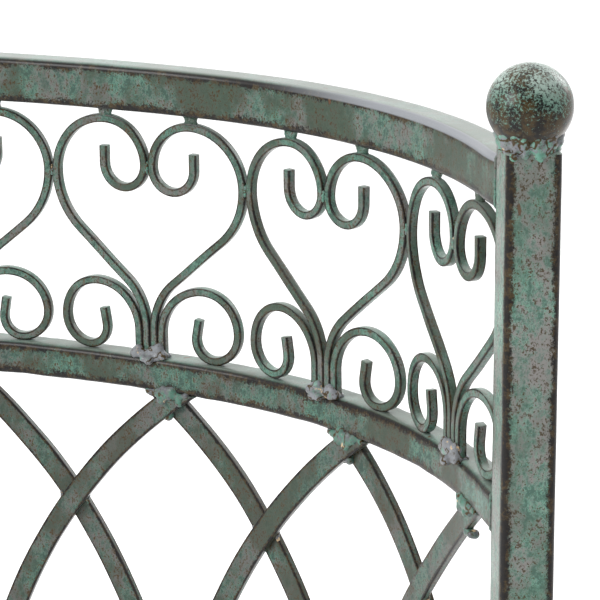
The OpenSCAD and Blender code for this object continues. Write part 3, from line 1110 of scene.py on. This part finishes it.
    def rail_ends(self, size, plan):
        """A thin bead round the end of each rail, where it meets the post."""
        chance = random.Random(31)
        made = []
        for z, width, height in ((plan.top_z, size.top_width, size.top_height),
                                 (plan.mid_z, size.low_width, size.low_height),
                                 (plan.low_z, size.low_width, size.low_height)):
            for s in (0.8 * MM, plan.length - 0.8 * MM):
                balls = []
                steps = 76
                for i in range(steps):
                    turn = i / steps * math.tau
                    x, y = math.cos(turn), math.sin(turn)
                    reach = max(abs(x), abs(y))
                    across = x / reach * (width / 2 - 0.6 * MM)
                    across += (size.post_offset + width / 2 - size.post_width / 2) * max(0.0, -x / reach)
                    balls.append((
                        chance.uniform(-0.2, 0.2) * MM, across,
                        height / 2 + y / reach * (height / 2 - 0.6 * MM),
                        chance.uniform(0.95, 1.1) * MM))
                bead = lumps("end bead", balls, 0.4 * MM, 0.3 * MM)
                put(bead, plan.on_rail(s, z))
                made.append(bead)
        ends = joined(made, "rail_end_welds")
        self.settle_welds(ends, painted_iron(
            "Painted joint", size.top_width, size.top_width, reach=1.0 * MM, ragged=0.0, bloom=0.6,
            speckle=0.5, stain=0.2, shade=1.0))

    def settle_welds(self, piece, material, *nodes):
        face_outward(piece)
        settle(piece, material, PAINTED, *nodes)


# ---------------------------------------------------------------- stage

class TRELLIS_OT_stage(bpy.types.Operator):
    """Pale floor, soft surrounding light and the camera"""
    bl_idname = "trellis.stage"
    bl_label = "Stage"

    def execute(self, context):
        self.floor()
        self.surroundings(context.scene)
        self.lamps()
        self.camera(context.scene)
        context.scene.view_settings.view_transform = "Standard"
        return {"FINISHED"}

    def floor(self):
        bpy.ops.object.select_all(action="DESELECT")
        bpy.ops.mesh.primitive_circle_add(vertices=64, radius=30, fill_type="NGON")
        floor = bpy.context.object
        floor.name = "floor"
        material = bpy.data.materials.new("Pale floor")
        material.use_nodes = True
        shader = material.node_tree.nodes["Principled BSDF"]
        shader.inputs["Base Color"].default_value = rgba(colours().floor)
        shader.inputs["Roughness"].default_value = 0.9
        shader.inputs["Specular IOR Level"].default_value = 0.1
        floor.data.materials.append(material)

    def surroundings(self, scene):
        """White all round, dimmer on the side that the panel's hollow faces."""
        world = bpy.data.worlds.new("Studio")
        world.use_nodes = True
        scene.world = world
        tree = world.node_tree
        background = tree.nodes["Background"]
        direction = add(tree, "TexCoord").outputs["Generated"]
        toward = add(tree, "VectorMath", {0: direction, 1: (-0.14, -0.95, 0.28)},
                     operation="DOT_PRODUCT").outputs["Value"]
        dim = ramp(tree, toward, 0.2, 0.8, 1.3, 0.18)
        high = add(tree, "SeparateXYZ", {0: direction}).outputs["Z"]
        dim = plus(tree, dim, ramp(tree, high, 0.55, 0.95, 0.0, 0.9))
        seen = add(tree, "LightPath").outputs["Is Camera Ray"]
        strength = calc(tree, "MAXIMUM", dim, times(tree, seen, 1.1))
        background.inputs["Color"].default_value = (1.0, 1.0, 1.0, 1.0)
        tree.links.new(strength, background.inputs["Strength"])

    def lamps(self):
        for name, place, energy, width in (
                ("Key", (-2.6, -1.3, 2.4), 110.0, 1.6), ("Rim", (2.6, 1.4, 2.2), 35.0, 1.4)):
            light = bpy.data.lights.new(name, "AREA")
            light.energy = energy
            light.size = width
            lamp = bpy.data.objects.new(name, light)
            lamp.location = place
            lamp.rotation_euler = (Vector((0, 0, 0.7)) - lamp.location).to_track_quat("-Z", "Y").to_euler()
            bpy.context.scene.collection.objects.link(lamp)

    def camera(self, scene):
        """Looks down at the right end of the frieze, from the hollow side of the panel."""
        yaw, pitch, roll = CAMERA_TURN
        ahead = Vector((math.sin(yaw) * math.cos(pitch), math.cos(yaw) * math.cos(pitch),
                        -math.sin(pitch)))
        right = Vector((math.cos(yaw), -math.sin(yaw), 0.0))
        up = right.cross(ahead)
        tilted = right * math.cos(roll) + up * math.sin(roll)
        up = up * math.cos(roll) - right * math.sin(roll)
        camera = bpy.data.objects.new("Camera", bpy.data.cameras.new("Camera"))
        camera.data.lens = CAMERA_LENS
        camera.data.sensor_width = SENSOR_WIDTH
        camera.matrix_world = Matrix.Translation(CAMERA_AT) @ Matrix(
            (tilted, up, -ahead)).transposed().to_4x4()
        scene.collection.objects.link(camera)
        scene.camera = camera


# ---------------------------------------------------------------- add-on

class TRELLIS_PT_panel(bpy.types.Panel):
    """Sizes, colours and pieces of the trellis panel"""
    bl_idname = "TRELLIS_PT_panel"
    bl_label = "Trellis Panel"
    bl_space_type = "VIEW_3D"
    bl_region_type = "UI"
    bl_category = "Trellis"

    def draw(self, context):
        for group in (context.scene.trellis_panel, context.scene.trellis_bars,
                      context.scene.trellis_colours):
            box = self.layout.box()
            for name in group.__annotations__:
                box.prop(group, name)
        for operator in OPERATORS:
            self.layout.operator(operator.bl_idname)


OPERATORS = (TRELLIS_OT_posts, TRELLIS_OT_finials, TRELLIS_OT_rails, TRELLIS_OT_hearts,
             TRELLIS_OT_small_scrolls, TRELLIS_OT_lattice, TRELLIS_OT_welds, TRELLIS_OT_stage)
CLASSES = (TrellisPanelSizes, TrellisBarSizes, TrellisColours, *OPERATORS, TRELLIS_PT_panel)


def register():
    for made in CLASSES:
        bpy.utils.register_class(made)
    bpy.types.Scene.trellis_panel = bpy.props.PointerProperty(type=TrellisPanelSizes)
    bpy.types.Scene.trellis_bars = bpy.props.PointerProperty(type=TrellisBarSizes)
    bpy.types.Scene.trellis_colours = bpy.props.PointerProperty(type=TrellisColours)


def unregister():
    del bpy.types.Scene.trellis_colours
    del bpy.types.Scene.trellis_bars
    del bpy.types.Scene.trellis_panel
    for made in reversed(CLASSES):
        bpy.utils.unregister_class(made)


def main():
    register()
    bpy.ops.trellis.posts()
    bpy.ops.trellis.finials()
    bpy.ops.trellis.rails()
    bpy.ops.trellis.hearts()
    bpy.ops.trellis.small_scrolls()
    bpy.ops.trellis.lattice()
    bpy.ops.trellis.welds()
    bpy.ops.trellis.stage()


if __name__ == "__main__":
    main()
